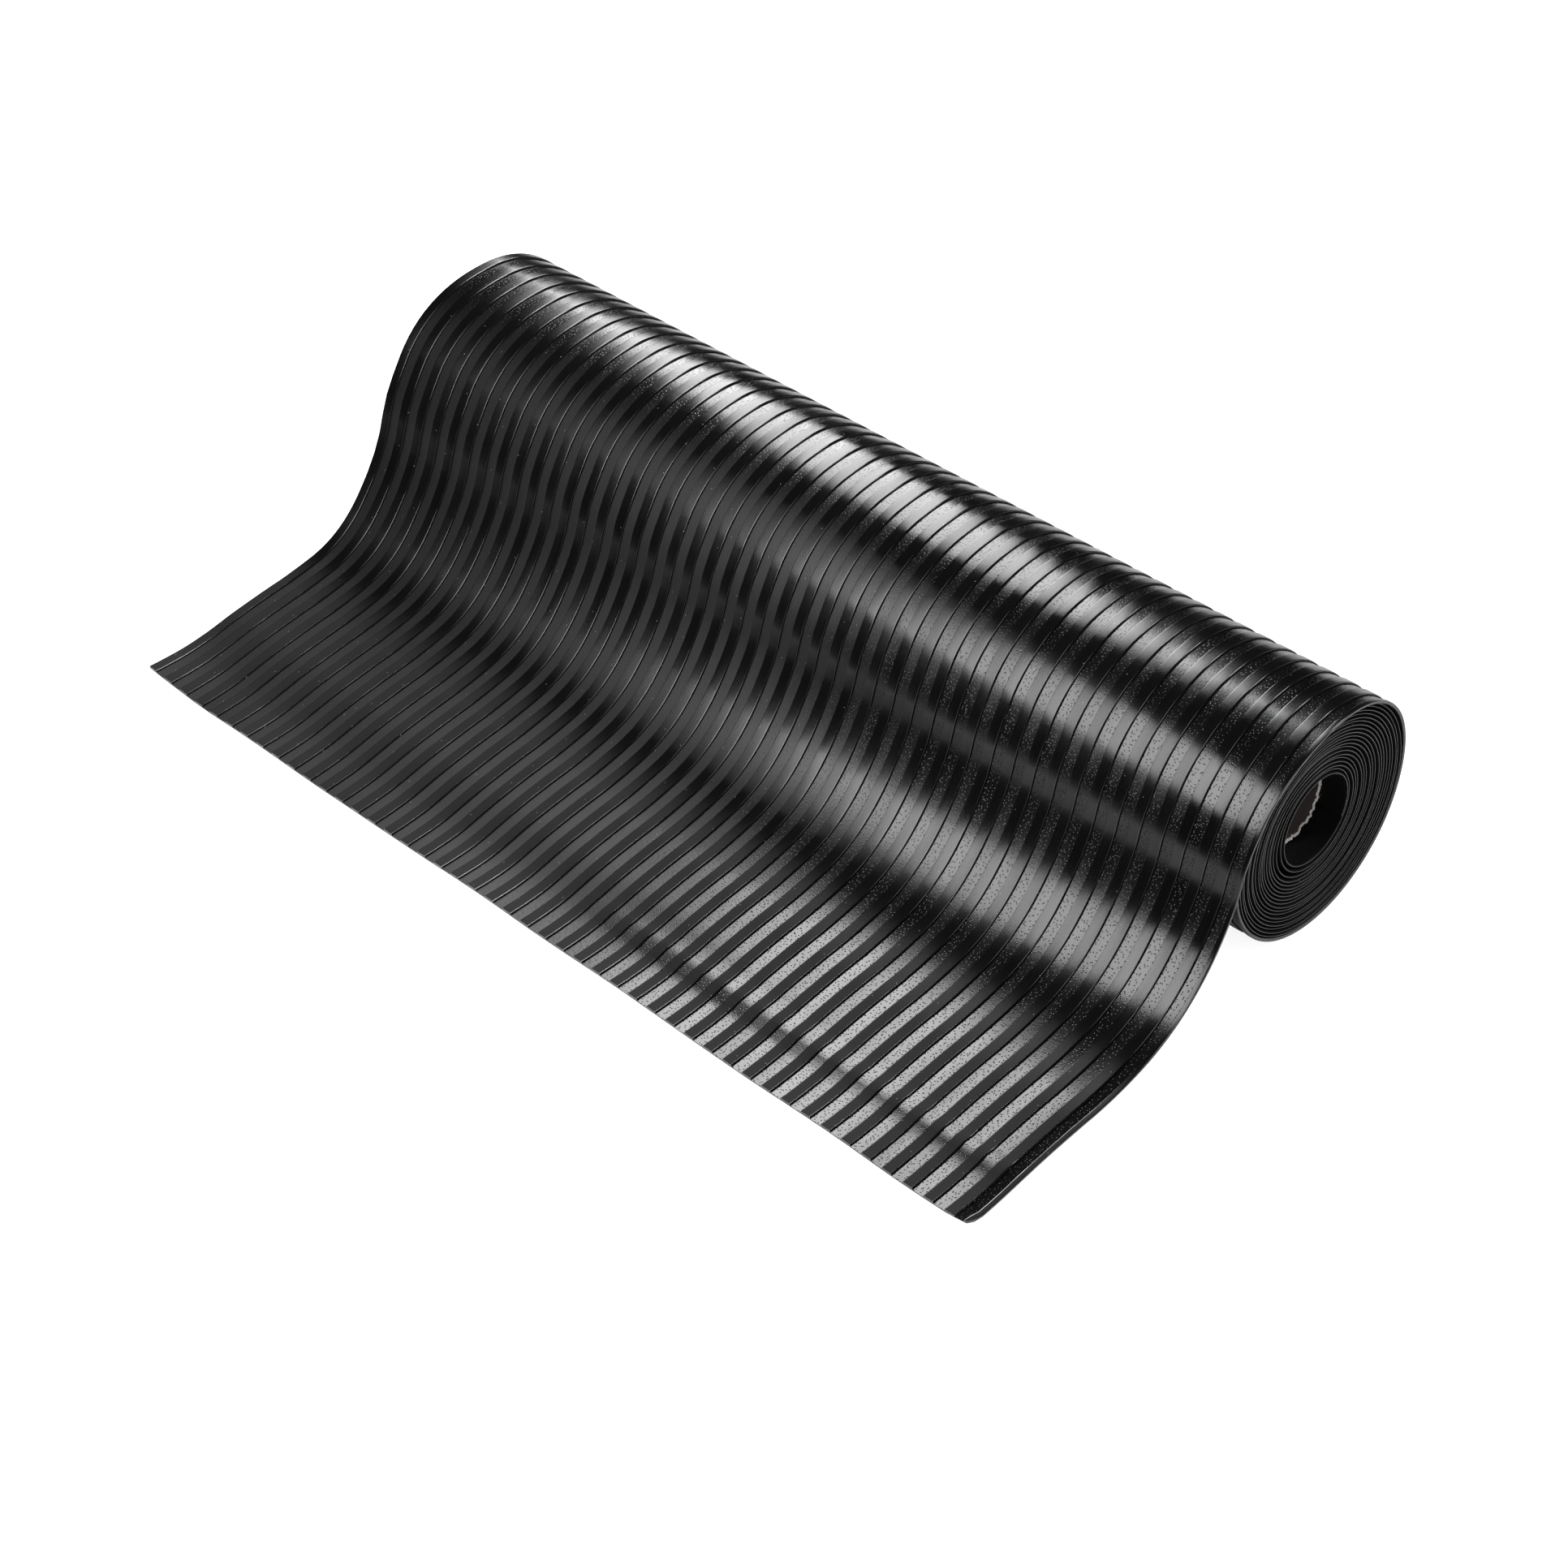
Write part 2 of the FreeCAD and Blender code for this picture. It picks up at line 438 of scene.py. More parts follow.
def lengths_along(spots: list[tuple[float, float]]) -> np.ndarray:
    """Lengths along a side view.

    Args:
        spots: Its points, as Y and Z.

    Returns:
        The length from the first point to each of them.
    """
    runs = [math.dist(a, b) for a, b in zip(spots, spots[1:])]
    return np.concatenate([[0.0], np.cumsum(runs)])


def outline(bm: bmesh.types.BMesh, points: list[tuple[float, float]]) -> list[bmesh.types.BMEdge]:
    """Draws the closed outline that a flat sheet grows from.

    Args:
        bm: The mesh.
        points: Places across the sheet and heights over its smooth side.

    Returns:
        The edges, each from its own point to the next.
    """
    ring = [bm.verts.new((x, 0.0, height)) for x, height in points]
    return [bm.edges.new((a, b)) for a, b in zip(ring, ring[1:] + ring[:1])]


def grow(
    bm: bmesh.types.BMesh, edges: list[bmesh.types.BMEdge], length: float
) -> tuple[list[bmesh.types.BMEdge], list[bmesh.types.BMFace]]:
    """Extrudes a flat sheet's outline by one step.

    Args:
        bm: The mesh.
        edges: The outline so far.
        length: How far the step goes.

    Returns:
        The new outline, and the faces of the step.
    """
    grown = bmesh.ops.extrude_edge_only(bm, edges=edges)["geom"]
    verts = [item for item in grown if isinstance(item, bmesh.types.BMVert)]
    bmesh.ops.translate(bm, vec=(0.0, length, 0.0), verts=verts)
    moved = set(verts)
    new_edges = [item for item in grown if isinstance(item, bmesh.types.BMEdge)]
    faces = [item for item in grown if isinstance(item, bmesh.types.BMFace)]
    return [e for e in new_edges if e.verts[0] in moved and e.verts[1] in moved], faces


def finish_sheet(
    bm: bmesh.types.BMesh,
    name: str,
    rolled: Callable[[float, float, float], Vector],
    materials: list[bpy.types.Material],
) -> bpy.types.Object:
    """Lays the UV map on the flat sheet, rolls it up and makes the object.

    Args:
        bm: The flat sheet: x across, y along, z up.
        name: The piece's name.
        rolled: The function that moves a flat point to its place.
        materials: One for each kind of face.

    Returns:
        The piece.
    """
    uv = bm.loops.layers.uv.new(FLAT_MAP)
    for face in bm.faces:
        for loop in face.loops:
            loop[uv].uv = (loop.vert.co.x, loop.vert.co.y)
    for vert in bm.verts:
        vert.co = rolled(*vert.co)
    piece = finish_piece(bm, name, materials, SHEET_SHARP)
    weighted = piece.modifiers.new("weighted_normals", "WEIGHTED_NORMAL")
    weighted.keep_sharp = True
    weighted.mode = "FACE_AREA"
    return piece


def finish_piece(
    bm: bmesh.types.BMesh, name: str, materials: list[bpy.types.Material], sharp: float
) -> bpy.types.Object:
    """Turns the faces outwards, shades them smooth and makes the object.

    Args:
        bm: The finished shape.
        name: The piece's name.
        materials: Its materials, in the order of the faces' numbers.
        sharp: The angle in degrees from which an edge is sharp.

    Returns:
        The piece.
    """
    bmesh.ops.recalc_face_normals(bm, faces=bm.faces)
    for face in bm.faces:
        face.smooth = True
    mesh = bpy.data.meshes.new(name)
    bm.to_mesh(mesh)
    bm.free()
    for material in materials:
        mesh.materials.append(material)
    piece = bpy.data.objects.new(name, mesh)
    bpy.context.collection.objects.link(piece)
    mesh.set_sharp_from_angle(angle=math.radians(sharp))
    LOG.info("%s: %d faces", name, len(mesh.polygons))
    return piece


@dataclass
class RibbedRun:
    """The ribbed sheet that shows: the flat end, the drape and one turn over the roll."""

    matting: Matting
    roll: Roll
    lie: SoftLie = SoftLie()
    left_drape: Drape = Drape(
        leave=149.0, tight_radius=132.5 * MM, gentle_radius=200 * MM, gentle_slope=12.0
    )
    right_drape: Drape = Drape(
        leave=153.5, tight_radius=168.5 * MM, gentle_radius=250 * MM, gentle_slope=15.5
    )
    front_y: float = -275.0 * MM
    corner_radius: float = 17.0 * MM
    left: list[Station] = field(init=False)
    right: list[Station] = field(init=False)
    lengths: np.ndarray = field(init=False)

    def __post_init__(self) -> None:
        """Lays out both long edges, and the lengths halfway between them."""
        self.left = SheetPath(self.roll, self.left_drape, self.front_y).stations()
        self.right = SheetPath(self.roll, self.right_drape, self.front_y).stations()
        pairs = zip(self.left, self.right)
        self.lengths = lengths_along([((a.y + b.y) / 2, (a.z + b.z) / 2) for a, b in pairs])

    def trimmed(self, x: float, s: float) -> tuple[float, float]:
        """Rounds the right front corner in plan.

        Args:
            x: Place across the mat.
            s: Length from the cut edge.

        Returns:
            The moved place and length.
        """
        reach = self.corner_radius
        across, back = x - (self.matting.width / 2 - reach), reach - s
        if across <= 0 or back <= 0:
            return x, s
        scale = max(across, back) / math.hypot(across, back)
        return x + across * (scale - 1), s - back * (scale - 1)

    def rolled(self, x: float, s: float, height: float) -> Vector:
        """A point of the flat sheet, moved to where the sheet lies.

        Args:
            x: Place across the mat.
            s: Length from the cut edge.
            height: Height over the smooth side.

        Returns:
            The point in the frame of the solids.
        """
        step = int(np.argmin(np.abs(self.lengths - s)))
        share = x / self.matting.width + 0.5
        left, right = self.left[step], self.right[step]
        angle = left.angle + (right.angle - left.angle) * share
        turned = math.radians(angle)
        height += self.lie.bulge(share, s)
        y = left.y + (right.y - left.y) * share + height * math.cos(turned)
        z = left.z + (right.z - left.z) * share + height * math.sin(turned)
        new_x, new_s = self.trimmed(x, s)
        y += new_s - s
        new_x += self.lie.lean(share, s) - self.roll.side_shift(angle) * share
        return Vector((new_x, y, z + self.lie.lift(x, s)))

    def build(self, materials: list[bpy.types.Material]) -> bpy.types.Object:
        """Models the sheet flat, one extrusion for each step, and rolls it up.

        Args:
            materials: One for each kind of face.

        Returns:
            The finished piece.
        """
        bm = bmesh.new()
        kind_layer = bm.edges.layers.int.new("kind")
        points, kinds = self.matting.section()
        edges = outline(bm, points)
        for edge, kind in zip(edges, kinds):
            edge[kind_layer] = kind.value
        cut_ends = list(bmesh.ops.contextual_create(bm, geom=edges)["faces"])
        for start, end in zip(self.lengths, self.lengths[1:]):
            edges, faces = grow(bm, edges, end - start)
            ends = set(edges)
            for face in faces:
                edge = next(item for item in face.edges if item in ends)
                face.material_index = edge[kind_layer]
        cut_ends += bmesh.ops.contextual_create(bm, geom=edges)["faces"]
        # The cut ends, like the sheet's side edges, are drawn pale grey: a painted highlight
        for face in cut_ends:
            face.material_index = Face.CUT.value
        return finish_sheet(bm, "ribbed_run", self.rolled, materials)


@dataclass
class InnerTurns:
    """The plain sheet wound under the ribbed run, from the core outwards."""

    matting: Matting
    roll: Roll
    degrees_per_step: float = 5.0
    thickness: float = 2.6 * MM
    # The edges are drawn to a narrow face, which leaves black gaps between the turns. The narrow face is
    # pale grey, a painted highlight where each turn's edge catches the light
    edge_face: float = 0.5 * MM
    edge_depth: float = 1.6 * MM
    left_wander: float = 2.0 * MM
    left_wander_angle: float = 300.0
    angles: np.ndarray = field(init=False)
    lengths: np.ndarray = field(init=False)

    def __post_init__(self) -> None:
        """Lays out the steps from where the ribbed run ends to the core."""
        count = round((RIBBED_END - self.roll.core_angle) / self.degrees_per_step)
        self.angles = np.linspace(RIBBED_END, self.roll.core_angle, count + 1)
        self.lengths = lengths_along([self.roll.point(angle) for angle in self.angles])

    def rolled(self, x: float, s: float, height: float) -> Vector:
        """A point of the flat sheet, moved to where the sheet lies.

        Args:
            x: Place across the mat.
            s: Length from the outer end of these turns.
            height: Height over the smooth side.

        Returns:
            The point in the frame of the solids.
        """
        angle = float(np.interp(s, self.lengths, self.angles))
        turned = math.radians(angle)
        y, z = self.roll.point(angle)
        share = x / self.matting.width + 0.5
        uneven = noise.noise(Vector((angle / self.left_wander_angle, LEFT_SIDE_SEED, 0.0)))
        shift = self.roll.side_shift(angle) * share + (1 - share) * uneven * self.left_wander
        return Vector((x - shift, y + height * math.cos(turned), z + height * math.sin(turned)))

    def build(self, materials: list[bpy.types.Material]) -> bpy.types.Object:
        """Models the plain sheet flat and rolls it up.

        Args:
            materials: One for each kind of face.

        Returns:
            The finished piece.
        """
        half, top = self.matting.width / 2, self.thickness
        low, high = (top - self.edge_face) / 2, (top + self.edge_face) / 2
        inner = half - self.edge_depth
        bm = bmesh.new()
        edges = outline(bm, [
            (-half, low), (-half, high), (-inner, top), (inner, top),
            (half, high), (half, low), (inner, 0.0), (-inner, 0.0),
        ])
        bmesh.ops.contextual_create(bm, geom=edges)
        for start, end in zip(self.lengths, self.lengths[1:]):
            edges, _ = grow(bm, edges, end - start)
        bmesh.ops.contextual_create(bm, geom=edges)
        # The narrow edge faces take the pale cut rubber: a painted highlight
        outside = (half + inner) / 2
        for face in bm.faces:
            side = all(abs(vert.co.x) > outside for vert in face.verts)
            face.material_index = Face.CUT.value if side else Face.SMOOTH.value
        return finish_sheet(bm, "inner_turns", self.rolled, materials)


@dataclass(frozen=True)
class Core:
    """The cardboard tube, with a torn rim at each end."""

    bore: float = 35.0 * MM
    outer: float = 38.5 * MM
    half_length: float = 457.0 * MM
    around: int = 240
    crown: float = 1.2 * MM
    # Points from torn_from outwards are torn, and the ring at whole_to stays whole
    torn_from: float = 440 * MM
    whole_to: float = 430 * MM
    torn: float = 3.6 * MM
    coarse_waves: float = 9.0
    fine_waves: float = 34.0
    coarse_part: float = 0.7
    fine_part: float = 0.4
    mean_part: float = -0.2
    fray: float = 1.6 * MM
    fray_waves: float = 1.7

    def profile(self) -> list[tuple[float, float]]:
        """The wall's closed outline.

        Returns:
            Places along the axis and radii.
        """
        middle = (self.bore + self.outer) / 2
        end, tip, whole = self.half_length, self.half_length + self.crown, self.whole_to
        return [
            (end, self.bore), (tip, middle), (end, self.outer),
            (whole, self.outer), (0.0, self.outer), (-whole, self.outer),
            (-end, self.outer), (-tip, middle), (-end, self.bore),
            (-whole, self.bore), (0.0, self.bore), (whole, self.bore),
        ]

    def tear(self, vert: bmesh.types.BMVert) -> None:
        """Moves a point of the rim in or out, and frays the bore's side of it.

        Args:
            vert: The point, on the tube round the X axis.
        """
        x, y, z = vert.co
        around = math.atan2(z, y)
        across = Vector((math.cos(around), math.sin(around), 0.0))
        coarse = across * self.coarse_waves + Vector((0.0, 0.0, x))
        fine = across * self.fine_waves + Vector((0.0, 0.0, TEAR_SEED + x))
        uneven = noise.noise(coarse) * self.coarse_part + noise.noise(fine) * self.fine_part
        vert.co.x += math.copysign(self.torn * (uneven + self.mean_part), x)
        radius = math.hypot(y, z)
        if radius < 0.5 * (self.bore + self.outer):
            scale = 1 - self.fray * max(noise.noise(fine * self.fray_waves), 0.0) / radius
            vert.co.y *= scale
            vert.co.z *= scale

    def build(
        self, roll: Roll, board: bpy.types.Material, rim: bpy.types.Material
    ) -> bpy.types.Object:
        """Makes the tube.

        Args:
            roll: Gives the axis.
            board: The board's wound faces.
            rim: The torn board of the ends.

        Returns:
            The piece.
        """
        bm = bmesh.new()
        edges = outline(bm, self.profile())
        bmesh.ops.spin(bm, geom=bm.verts[:] + edges, axis=(1, 0, 0), cent=(0, 0, 0), angle=math.tau,
                       steps=self.around, use_merge=True)
        for vert in bm.verts:
            if abs(vert.co.x) >= self.torn_from:
                self.tear(vert)
        for face in bm.faces:
            face.material_index = int(all(abs(vert.co.x) > self.torn_from for vert in face.verts))
        bmesh.ops.translate(bm, vec=(0.0, roll.axis_y, roll.axis_z), verts=bm.verts)
        return finish_piece(bm, "core", [board, rim], CORE_SHARP)


def linear(code: str) -> tuple[float, float, float, float]:
    """A colour as Blender's shaders take it.

    Args:
        code: Six hex digits of sRGB.

    Returns:
        Linear red, green, blue and 1.
    """
    values = [int(code[i : i + 2], 16) / 255 for i in (0, 2, 4)]
    tones = [v / 12.92 if v <= 0.04045 else ((v + 0.055) / 1.055) ** 2.4 for v in values]
    return (*tones, 1.0)


def add_node(
    tree: bpy.types.NodeTree, kind: str, inputs: dict[str | int, object] | None = None, **settings: object
) -> bpy.types.Node:
    """Adds one node.

    Args:
        tree: The node tree.
        kind: The node's type.
        inputs: Values or output sockets by input name or number.
        settings: The node's own options.

    Returns:
        The node.
    """
    node = tree.nodes.new(kind)
    for name, value in settings.items():
        setattr(node, name, value)
    for key, value in (inputs or {}).items():
        if isinstance(value, bpy.types.NodeSocket):
            tree.links.new(value, node.inputs[key])
        else:
            node.inputs[key].default_value = value
    return node


@dataclass(frozen=True)
class Wear:
    """A scuffed, dull area of the sheet, from its cut edge back and from its left edge across.

    Along the sheet it is full as far as full_to and gone from none_from on. Across, it ends at
    left_of, softened by blend to both sides.
    """

    roughness: float
    left_of: float
    blend: float
    full_to: float
    none_from: float

    def over(
        self, tree: bpy.types.NodeTree, place: bpy.types.NodeSocket, rough: bpy.types.NodeSocket
    ) -> bpy.types.NodeSocket:
        """Lays the scuffed area over a roughness.

        Args:
            tree: The node tree.
            place: The flat sheet's coordinates.
            rough: The roughness elsewhere.

        Returns:
            The roughness with the scuffed area.
        """
        axes = add_node(tree, "ShaderNodeSeparateXYZ", {"Vector": place})
        near = add_node(tree, "ShaderNodeMapRange",
                        {"Value": axes.outputs["Y"], "From Min": self.full_to,
                         "From Max": self.none_from, "To Min": 1.0, "To Max": 0.0},
                        interpolation_type="SMOOTHSTEP")
        side = add_node(tree, "ShaderNodeMapRange",
                        {"Value": axes.outputs["X"], "From Min": self.left_of - self.blend,
                         "From Max": self.left_of + self.blend, "To Min": 1.0, "To Max": 0.0},
                        interpolation_type="SMOOTHSTEP")
        share = add_node(tree, "ShaderNodeMath", {0: near.outputs["Result"], 1: side.outputs["Result"]},
                         operation="MULTIPLY")
        mix = add_node(tree, "ShaderNodeMix",
                       {NUMBER_FACTOR: share.outputs[0], NUMBER_A: rough, NUMBER_B: self.roughness},
                       data_type="FLOAT")
        return mix.outputs[NUMBER_RESULT]


@dataclass(frozen=True)
class Rubber:
    """A finish of moulded black rubber, laid out on the flat sheet.

    The streaks run along the sheet, and the grain is the rubber's own.
    """

    name: str
    dark: str
    light: str
    smoothest: float
    roughest: float
    streak_width: float
    streak_depth: float
    grain_size: float
    grain_depth: float
    gloss: float = 0.5
    brushed: float = 0.0
    wear: Wear | None = None
    ior: float = 1.5
    streak_stretch: float = 60.0
    clouds_per_metre: float = 14.0
    # One strip of even roughness is about a rib wide and 0.8 m long
    strips: tuple[float, float, float] = (46.0, 1.2, 1.0)
    rough_noise: tuple[float, float] = (0.75, 1.25)
    # Cast pits, with their radius as a share of their spacing
    pit_spacing: float = 0.0
    pit_radius: float = 0.22
    pit_depth: float = 0.12 * MM
    # Specks of dust, with their radii as a share of their spacing
    dust: str = "8a8a88"
    dust_spacing: float = 38 * MM
    dust_radius: tuple[float, float] = (0.006, 0.013)

    def material(self) -> bpy.types.Material:
        """Builds the material.

        Returns:
            The material, whose noise is sized in millimetres on the flat sheet.
        """
        made = bpy.data.materials.new(self.name)
        made.use_nodes = True
        tree = made.node_tree
        shader = tree.nodes["Principled BSDF"]
        shader.inputs["IOR"].default_value = self.ior
        shader.inputs["Specular IOR Level"].default_value = self.gloss
        shader.inputs["Anisotropic"].default_value = self.brushed
        place = add_node(tree, "ShaderNodeUVMap", uv_map=FLAT_MAP).outputs["UV"]
        stretch = (1.0 / self.streak_width, 1.0 / (self.streak_stretch * self.streak_width), 1.0)
        along = add_node(tree, "ShaderNodeMapping", {"Vector": place, "Scale": stretch})
        streak = add_node(tree, "ShaderNodeTexNoise",
                          {"Vector": along.outputs[0], "Scale": 1.0, "Detail": 3.0, "Roughness": 0.6},
                          noise_dimensions="2D").outputs["Fac"]
        grain = add_node(tree, "ShaderNodeTexNoise",
                         {"Vector": place, "Scale": 1.0 / self.grain_size, "Detail": 2.0},
                         noise_dimensions="2D").outputs["Fac"]
        tree.links.new(self.colour(tree, place, streak), shader.inputs["Base Color"])
        tree.links.new(self.roughness(tree, place, grain), shader.inputs["Roughness"])
        tree.links.new(self.normal(tree, place, streak, grain), shader.inputs["Normal"])
        if self.brushed:
            across = add_node(tree, "ShaderNodeTangent", direction_type="UV_MAP", uv_map=FLAT_MAP)
            tree.links.new(across.outputs[0], shader.inputs["Tangent"])
        return made

    def colour(
        self, tree: bpy.types.NodeTree, place: bpy.types.NodeSocket, streak: bpy.types.NodeSocket
    ) -> bpy.types.NodeSocket:
        """Streaked and clouded black, with a few grey specks of dust.

        Args:
            tree: The node tree.
            place: The flat sheet's coordinates.
            streak: The noise along the sheet.

        Returns:
            The colour.
        """
        cloud = add_node(tree, "ShaderNodeTexNoise",
                         {"Vector": place, "Scale": self.clouds_per_metre, "Detail": 4.0},
                         noise_dimensions="2D").outputs["Fac"]
        tone = add_node(tree, "ShaderNodeMath", {0: streak, 1: cloud}, operation="MULTIPLY").outputs[0]
        clean = add_node(tree, "ShaderNodeMix",
                         {MIX_FACTOR: tone, MIX_A: linear(self.dark), MIX_B: linear(self.light)},
                         data_type="RGBA")
        specks = add_node(tree, "ShaderNodeTexVoronoi", {"Vector": place, "Scale": 1 / self.dust_spacing},
                          voronoi_dimensions="2D").outputs["Distance"]
        inside, outside = self.dust_radius
        share = add_node(tree, "ShaderNodeMapRange",
                         {"Value": specks, "From Min": inside, "From Max": outside,
                          "To Min": 1.0, "To Max": 0.0})
        dusty = add_node(tree, "ShaderNodeMix",
                         {MIX_FACTOR: share.outputs["Result"], MIX_A: clean.outputs[MIX_RESULT],
                          MIX_B: linear(self.dust)}, data_type="RGBA")
        return dusty.outputs[MIX_RESULT]

    def roughness(
        self, tree: bpy.types.NodeTree, place: bpy.types.NodeSocket, grain: bpy.types.NodeSocket
    ) -> bpy.types.NodeSocket:
        """Roughness that changes a little from rib to rib, and with the grain.

        Args:
            tree: The node tree.
            place: The flat sheet's coordinates.
            grain: The fine noise.

        Returns:
            The roughness.
        """
        strips = add_node(tree, "ShaderNodeMapping", {"Vector": place, "Scale": self.strips})
        strip = add_node(tree, "ShaderNodeTexNoise", {"Vector": strips.outputs[0], "Scale": 1.0},
                         noise_dimensions="2D").outputs["Fac"]
        both = add_node(tree, "ShaderNodeMath", {0: strip, 1: grain}, operation="ADD").outputs[0]
        low, high = self.rough_noise
        rough = add_node(tree, "ShaderNodeMapRange",
                         {"Value": both, "From Min": low, "From Max": high,
                          "To Min": self.smoothest, "To Max": self.roughest}).outputs["Result"]
        return self.wear.over(tree, place, rough) if self.wear else rough

    def normal(
        self,
        tree: bpy.types.NodeTree,
        place: bpy.types.NodeSocket,
        streak: bpy.types.NodeSocket,
        grain: bpy.types.NodeSocket,
    ) -> bpy.types.NodeSocket:
        """Bumps too fine to model: the streaks, the grain and the cast pits.

        Args:
            tree: The node tree.
            place: The flat sheet's coordinates.
            streak: The noise along the sheet.
            grain: The fine noise.

        Returns:
            The normal.
        """
        bump = add_node(tree, "ShaderNodeBump",
                        {"Height": streak, "Strength": 1.0, "Distance": self.streak_depth})
        fine = add_node(tree, "ShaderNodeBump",
                        {"Height": grain, "Strength": 1.0, "Distance": self.grain_depth,
                         "Normal": bump.outputs["Normal"]})
        if not self.pit_spacing:
            return fine.outputs["Normal"]
        cells = add_node(tree, "ShaderNodeTexVoronoi", {"Vector": place, "Scale": 1 / self.pit_spacing},
                         voronoi_dimensions="2D").outputs["Distance"]
        dip = add_node(tree, "ShaderNodeMapRange",
                       {"Value": cells, "From Min": 0.0, "From Max": self.pit_radius,
                        "To Min": 0.0, "To Max": 1.0}, interpolation_type="SMOOTHSTEP")
        pitted = add_node(tree, "ShaderNodeBump",
                          {"Height": dip.outputs["Result"], "Strength": 1.0,
                           "Distance": self.pit_depth, "Normal": fine.outputs["Normal"]})
        return pitted.outputs["Normal"]


@dataclass(frozen=True)
class Board:
    """A finish of grey paper board, wound or torn."""

    name: str
    dark: str
    light: str
    fibre: float
    depth: float
    roughness: float = 0.95
    gloss: float = 0.2

    def material(self) -> bpy.types.Material:
        """Builds the material.

        Returns:
            The material.
        """
        made = bpy.data.materials.new(self.name)
        made.use_nodes = True
        tree = made.node_tree
        shader = tree.nodes["Principled BSDF"]
        shader.inputs["Roughness"].default_value = self.roughness
        shader.inputs["Specular IOR Level"].default_value = self.gloss
        place = add_node(tree, "ShaderNodeTexCoord").outputs["Object"]
        fibres = add_node(tree, "ShaderNodeTexNoise",
                          {"Vector": place, "Scale": 1 / self.fibre, "Detail": 5.0, "Roughness": 0.7})
        height = fibres.outputs["Fac"]
        colour = add_node(tree, "ShaderNodeMix",
                          {MIX_FACTOR: height, MIX_A: linear(self.dark), MIX_B: linear(self.light)},
                          data_type="RGBA")
        bump = add_node(tree, "ShaderNodeBump", {"Height": height, "Strength": 1.0, "Distance": self.depth})
        tree.links.new(colour.outputs[MIX_RESULT], shader.inputs["Base Color"])
        tree.links.new(bump.outputs["Normal"], shader.inputs["Normal"])
        return made


# The finishes of the matting, in the order of Face
RUBBERS = (
    # The tops of the moulded ribs: fine scratches along them draw each highlight out into
    # streaks, and the free end, which is handled and trodden on, is dull
    Rubber("moulded_rubber_rib", "0a0a0a", "141414", smoothest=0.15, roughest=0.27,
           streak_width=1.0 * MM, streak_depth=0.05 * MM, grain_size=0.5 * MM,
           grain_depth=0.006 * MM, gloss=0.45, brushed=0.85,
           wear=Wear(roughness=0.72, left_of=2.0, blend=0.1, full_to=0.12, none_from=0.24)),
    # The moulded floors of the grooves: a clearer reflection, broken by pits, and duller over
    # the left half of the free end and the drape
    Rubber("moulded_rubber_groove", "080808", "111111", smoothest=0.15, roughest=0.26,
           streak_width=0.9 * MM, streak_depth=0.012 * MM, grain_size=1.2 * MM,
           grain_depth=0.02 * MM, pit_spacing=3.4 * MM,
           wear=Wear(roughness=0.50, left_of=0.06, blend=0.16, full_to=0.45, none_from=0.51)),
    # The plain back of the sheet and the sides of its ribs: near black, with hardly any shine
    Rubber("smooth_rubber_back", "050505", "0b0b0b", smoothest=0.55, roughest=0.65,
           streak_width=1.2 * MM, streak_depth=0.02 * MM, grain_size=0.5 * MM,
           grain_depth=0.02 * MM, gloss=0.2),
    # Knife-cut rubber, drawn pale grey: a painted highlight where each turn's edge catches the light, so
    # that it shows as a thin, matt grey line
    Rubber("cut_rubber_edge_painted_highlight", "585858", "a2a2a2", smoothest=0.5, roughest=0.6,
           streak_width=0.4 * MM, streak_depth=0.04 * MM, grain_size=0.3 * MM,
           grain_depth=0.03 * MM),
    # The rounded edges of the ribs, rubbed smooth: thin, sharp glints along each rib
    Rubber("burnished_rib_edge", "0c0c0c", "161616", smoothest=0.10, roughest=0.18,
           streak_width=1.0 * MM, streak_depth=0.01 * MM, grain_size=0.5 * MM,
           grain_depth=0.002 * MM, gloss=1.0),
)

# Grey paper board wound into a tube: matt, with a faint mottle; its warm grey is the board's own, darkened
# with painted shade, the shade that lies inside the core's hole
WOUND_BOARD = Board("wound_grey_board_with_painted_shade", "3c3637", "5b5451", fibre=0.6 * MM, depth=0.05 * MM)

# The same board torn across: pale and furry, so that the rim stands out in the dark hole
TORN_BOARD = Board("torn_grey_board", "aaa6a2", "f0ede8", fibre=0.5 * MM, depth=0.2 * MM)


@dataclass(frozen=True)
class Softbox:
    """A rectangular studio lamp."""

    name: str
    centre: tuple[float, float, float]
    aim: tuple[float, float, float]
    width: float
    height: float
    radiance: float

    def place(self) -> None:
        """Adds the lamp, facing its aim."""
        data = bpy.data.lights.new(self.name, "AREA")
        data.shape = "RECTANGLE"
        data.size, data.size_y = self.width, self.height
        data.energy = self.radiance * math.pi * self.width * self.height
        lamp = bpy.data.objects.new(self.name, data)
        lamp.location = self.centre
        facing = Vector(self.aim) - Vector(self.centre)
        lamp.rotation_euler = facing.to_track_quat("-Z", "Y").to_euler()
        lamp.visible_camera = False
        bpy.context.collection.objects.link(lamp)


LAMPS = (
    Softbox("back_softbox", (-0.892, 1.038, 1.239), (0.008, 0.138, -0.021), 0.60, 1.36, 11.5),
    Softbox("front_softbox", (-0.209, -0.843, 0.955), (0.391, -0.051, 0.283), 0.66, 0.80, 8.5),
    Softbox("front_softbox_side", (-0.671, -0.493, 0.955), (-0.071, 0.299, 0.283), 0.50, 0.80, 1.0),
    Softbox("edge_light", (1.35, 1.45, 1.5), (0.1, 0.0, 0.1), 0.25, 1.0, 22.0),
    Softbox("right_fill", (2.2, -0.6, 1.6), (0.45, 0.1, 0.1), 1.5, 1.5, 2.4),
)


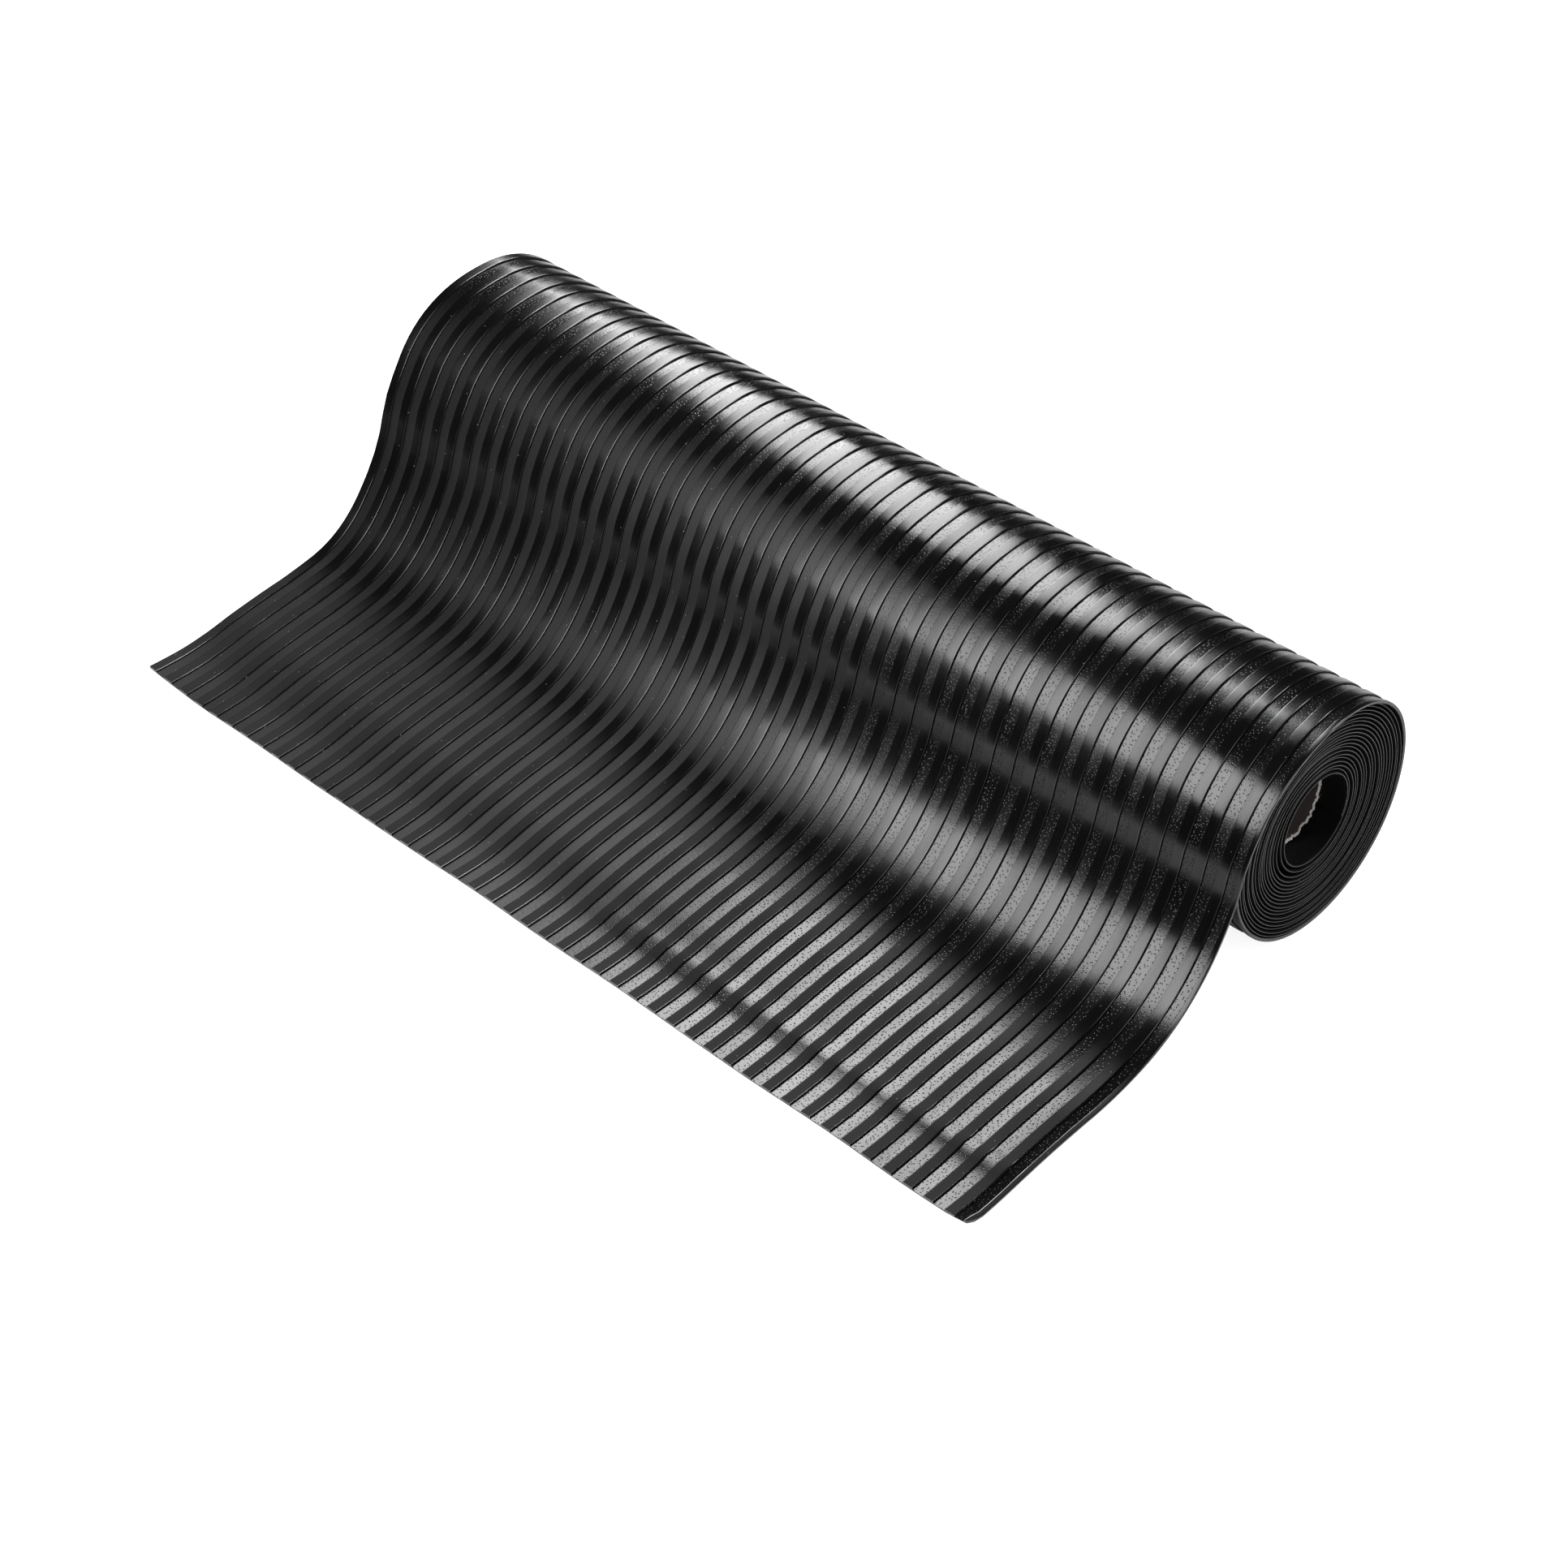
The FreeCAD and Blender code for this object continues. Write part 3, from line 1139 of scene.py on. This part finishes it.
@dataclass(frozen=True)
class Studio:
    """The floor, the white surroundings, the lamps and the camera."""

    floor_size: float = 12.0
    floor_colour: str = "e6e6e6"
    # What the floor adds for the camera alone, so that it shows white and keeps its shadow
    floor_glow: float = 0.88
    surroundings: float = 0.01
    sensor_width: float = 36.0
    lens: float = 80.0
    camera_place: tuple[float, float, float] = (1.67901, -1.56167, 1.99378)
    camera_facing: tuple[float, float, float] = (-0.54283127, 0.51754227, -0.6614259)
    camera_roll: float = -3.35
    lamps: tuple[Softbox, ...] = LAMPS

    def world(self) -> None:
        """White for the camera, dark studio for the rest."""
        world = bpy.data.worlds.new("studio")
        world.use_nodes = True
        tree = world.node_tree
        tree.nodes.clear()
        dim = add_node(tree, "ShaderNodeBackground", {"Color": WHITE, "Strength": self.surroundings})
        white = add_node(tree, "ShaderNodeBackground", {"Color": WHITE, "Strength": 1.0})
        path = add_node(tree, "ShaderNodeLightPath")
        mix = add_node(tree, "ShaderNodeMixShader", {0: path.outputs["Is Camera Ray"],
                                                     1: dim.outputs[0], 2: white.outputs[0]})
        add_node(tree, "ShaderNodeOutputWorld", {"Surface": mix.outputs[0]})
        bpy.context.scene.world = world

    def floor(self) -> None:
        """The plain pale floor, which keeps the shadow."""
        bm = bmesh.new()
        bmesh.ops.create_grid(bm, x_segments=1, y_segments=1, size=self.floor_size / 2)
        mesh = bpy.data.meshes.new("floor")
        bm.to_mesh(mesh)
        bm.free()
        floor = bpy.data.objects.new("floor", mesh)
        bpy.context.collection.objects.link(floor)
        made = bpy.data.materials.new("pale_floor")
        made.use_nodes = True
        tree = made.node_tree
        tree.nodes.clear()
        matte = add_node(tree, "ShaderNodeBsdfDiffuse", {"Color": linear(self.floor_colour)})
        path = add_node(tree, "ShaderNodeLightPath")
        share = add_node(tree, "ShaderNodeMath", {0: path.outputs["Is Camera Ray"], 1: self.floor_glow},
                         operation="MULTIPLY")
        glow = add_node(tree, "ShaderNodeEmission", {"Color": WHITE, "Strength": share.outputs[0]})
        both = add_node(tree, "ShaderNodeAddShader", {0: matte.outputs[0], 1: glow.outputs[0]})
        add_node(tree, "ShaderNodeOutputMaterial", {"Surface": both.outputs[0]})
        mesh.materials.append(made)

    def camera(self) -> None:
        """The photograph's camera."""
        data = bpy.data.cameras.new("camera")
        data.sensor_width = self.sensor_width
        data.lens = self.lens
        camera = bpy.data.objects.new("camera", data)
        roll = Quaternion((0, 0, 1), math.radians(self.camera_roll))
        turn = Vector(self.camera_facing).to_track_quat("-Z", "Y") @ roll
        camera.location = self.camera_place
        camera.rotation_euler = turn.to_euler()
        bpy.context.collection.objects.link(camera)
        bpy.context.scene.camera = camera

    def build(self) -> None:
        """Sets up everything round the object."""
        self.world()
        self.floor()
        self.camera()
        for lamp in self.lamps:
            lamp.place()
        bpy.context.scene.view_settings.view_transform = "Standard"


def main() -> None:
    """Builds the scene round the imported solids."""
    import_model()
    matting, roll = Matting(), Roll()
    rubber = [finish.material() for finish in RUBBERS]
    ribbed = RibbedRun(matting, roll).build(rubber)
    inner = InnerTurns(matting, roll).build(rubber)
    core = Core().build(roll, WOUND_BOARD.material(), TORN_BOARD.material())
    for piece in (ribbed, inner):
        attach(piece, ROOT)
        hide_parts("ribbed_mat")
    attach(core, ROOT)
    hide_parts("core_tube")
    Studio().build()


if __name__ == "__main__":
    logging.basicConfig(level=logging.INFO)
    main()
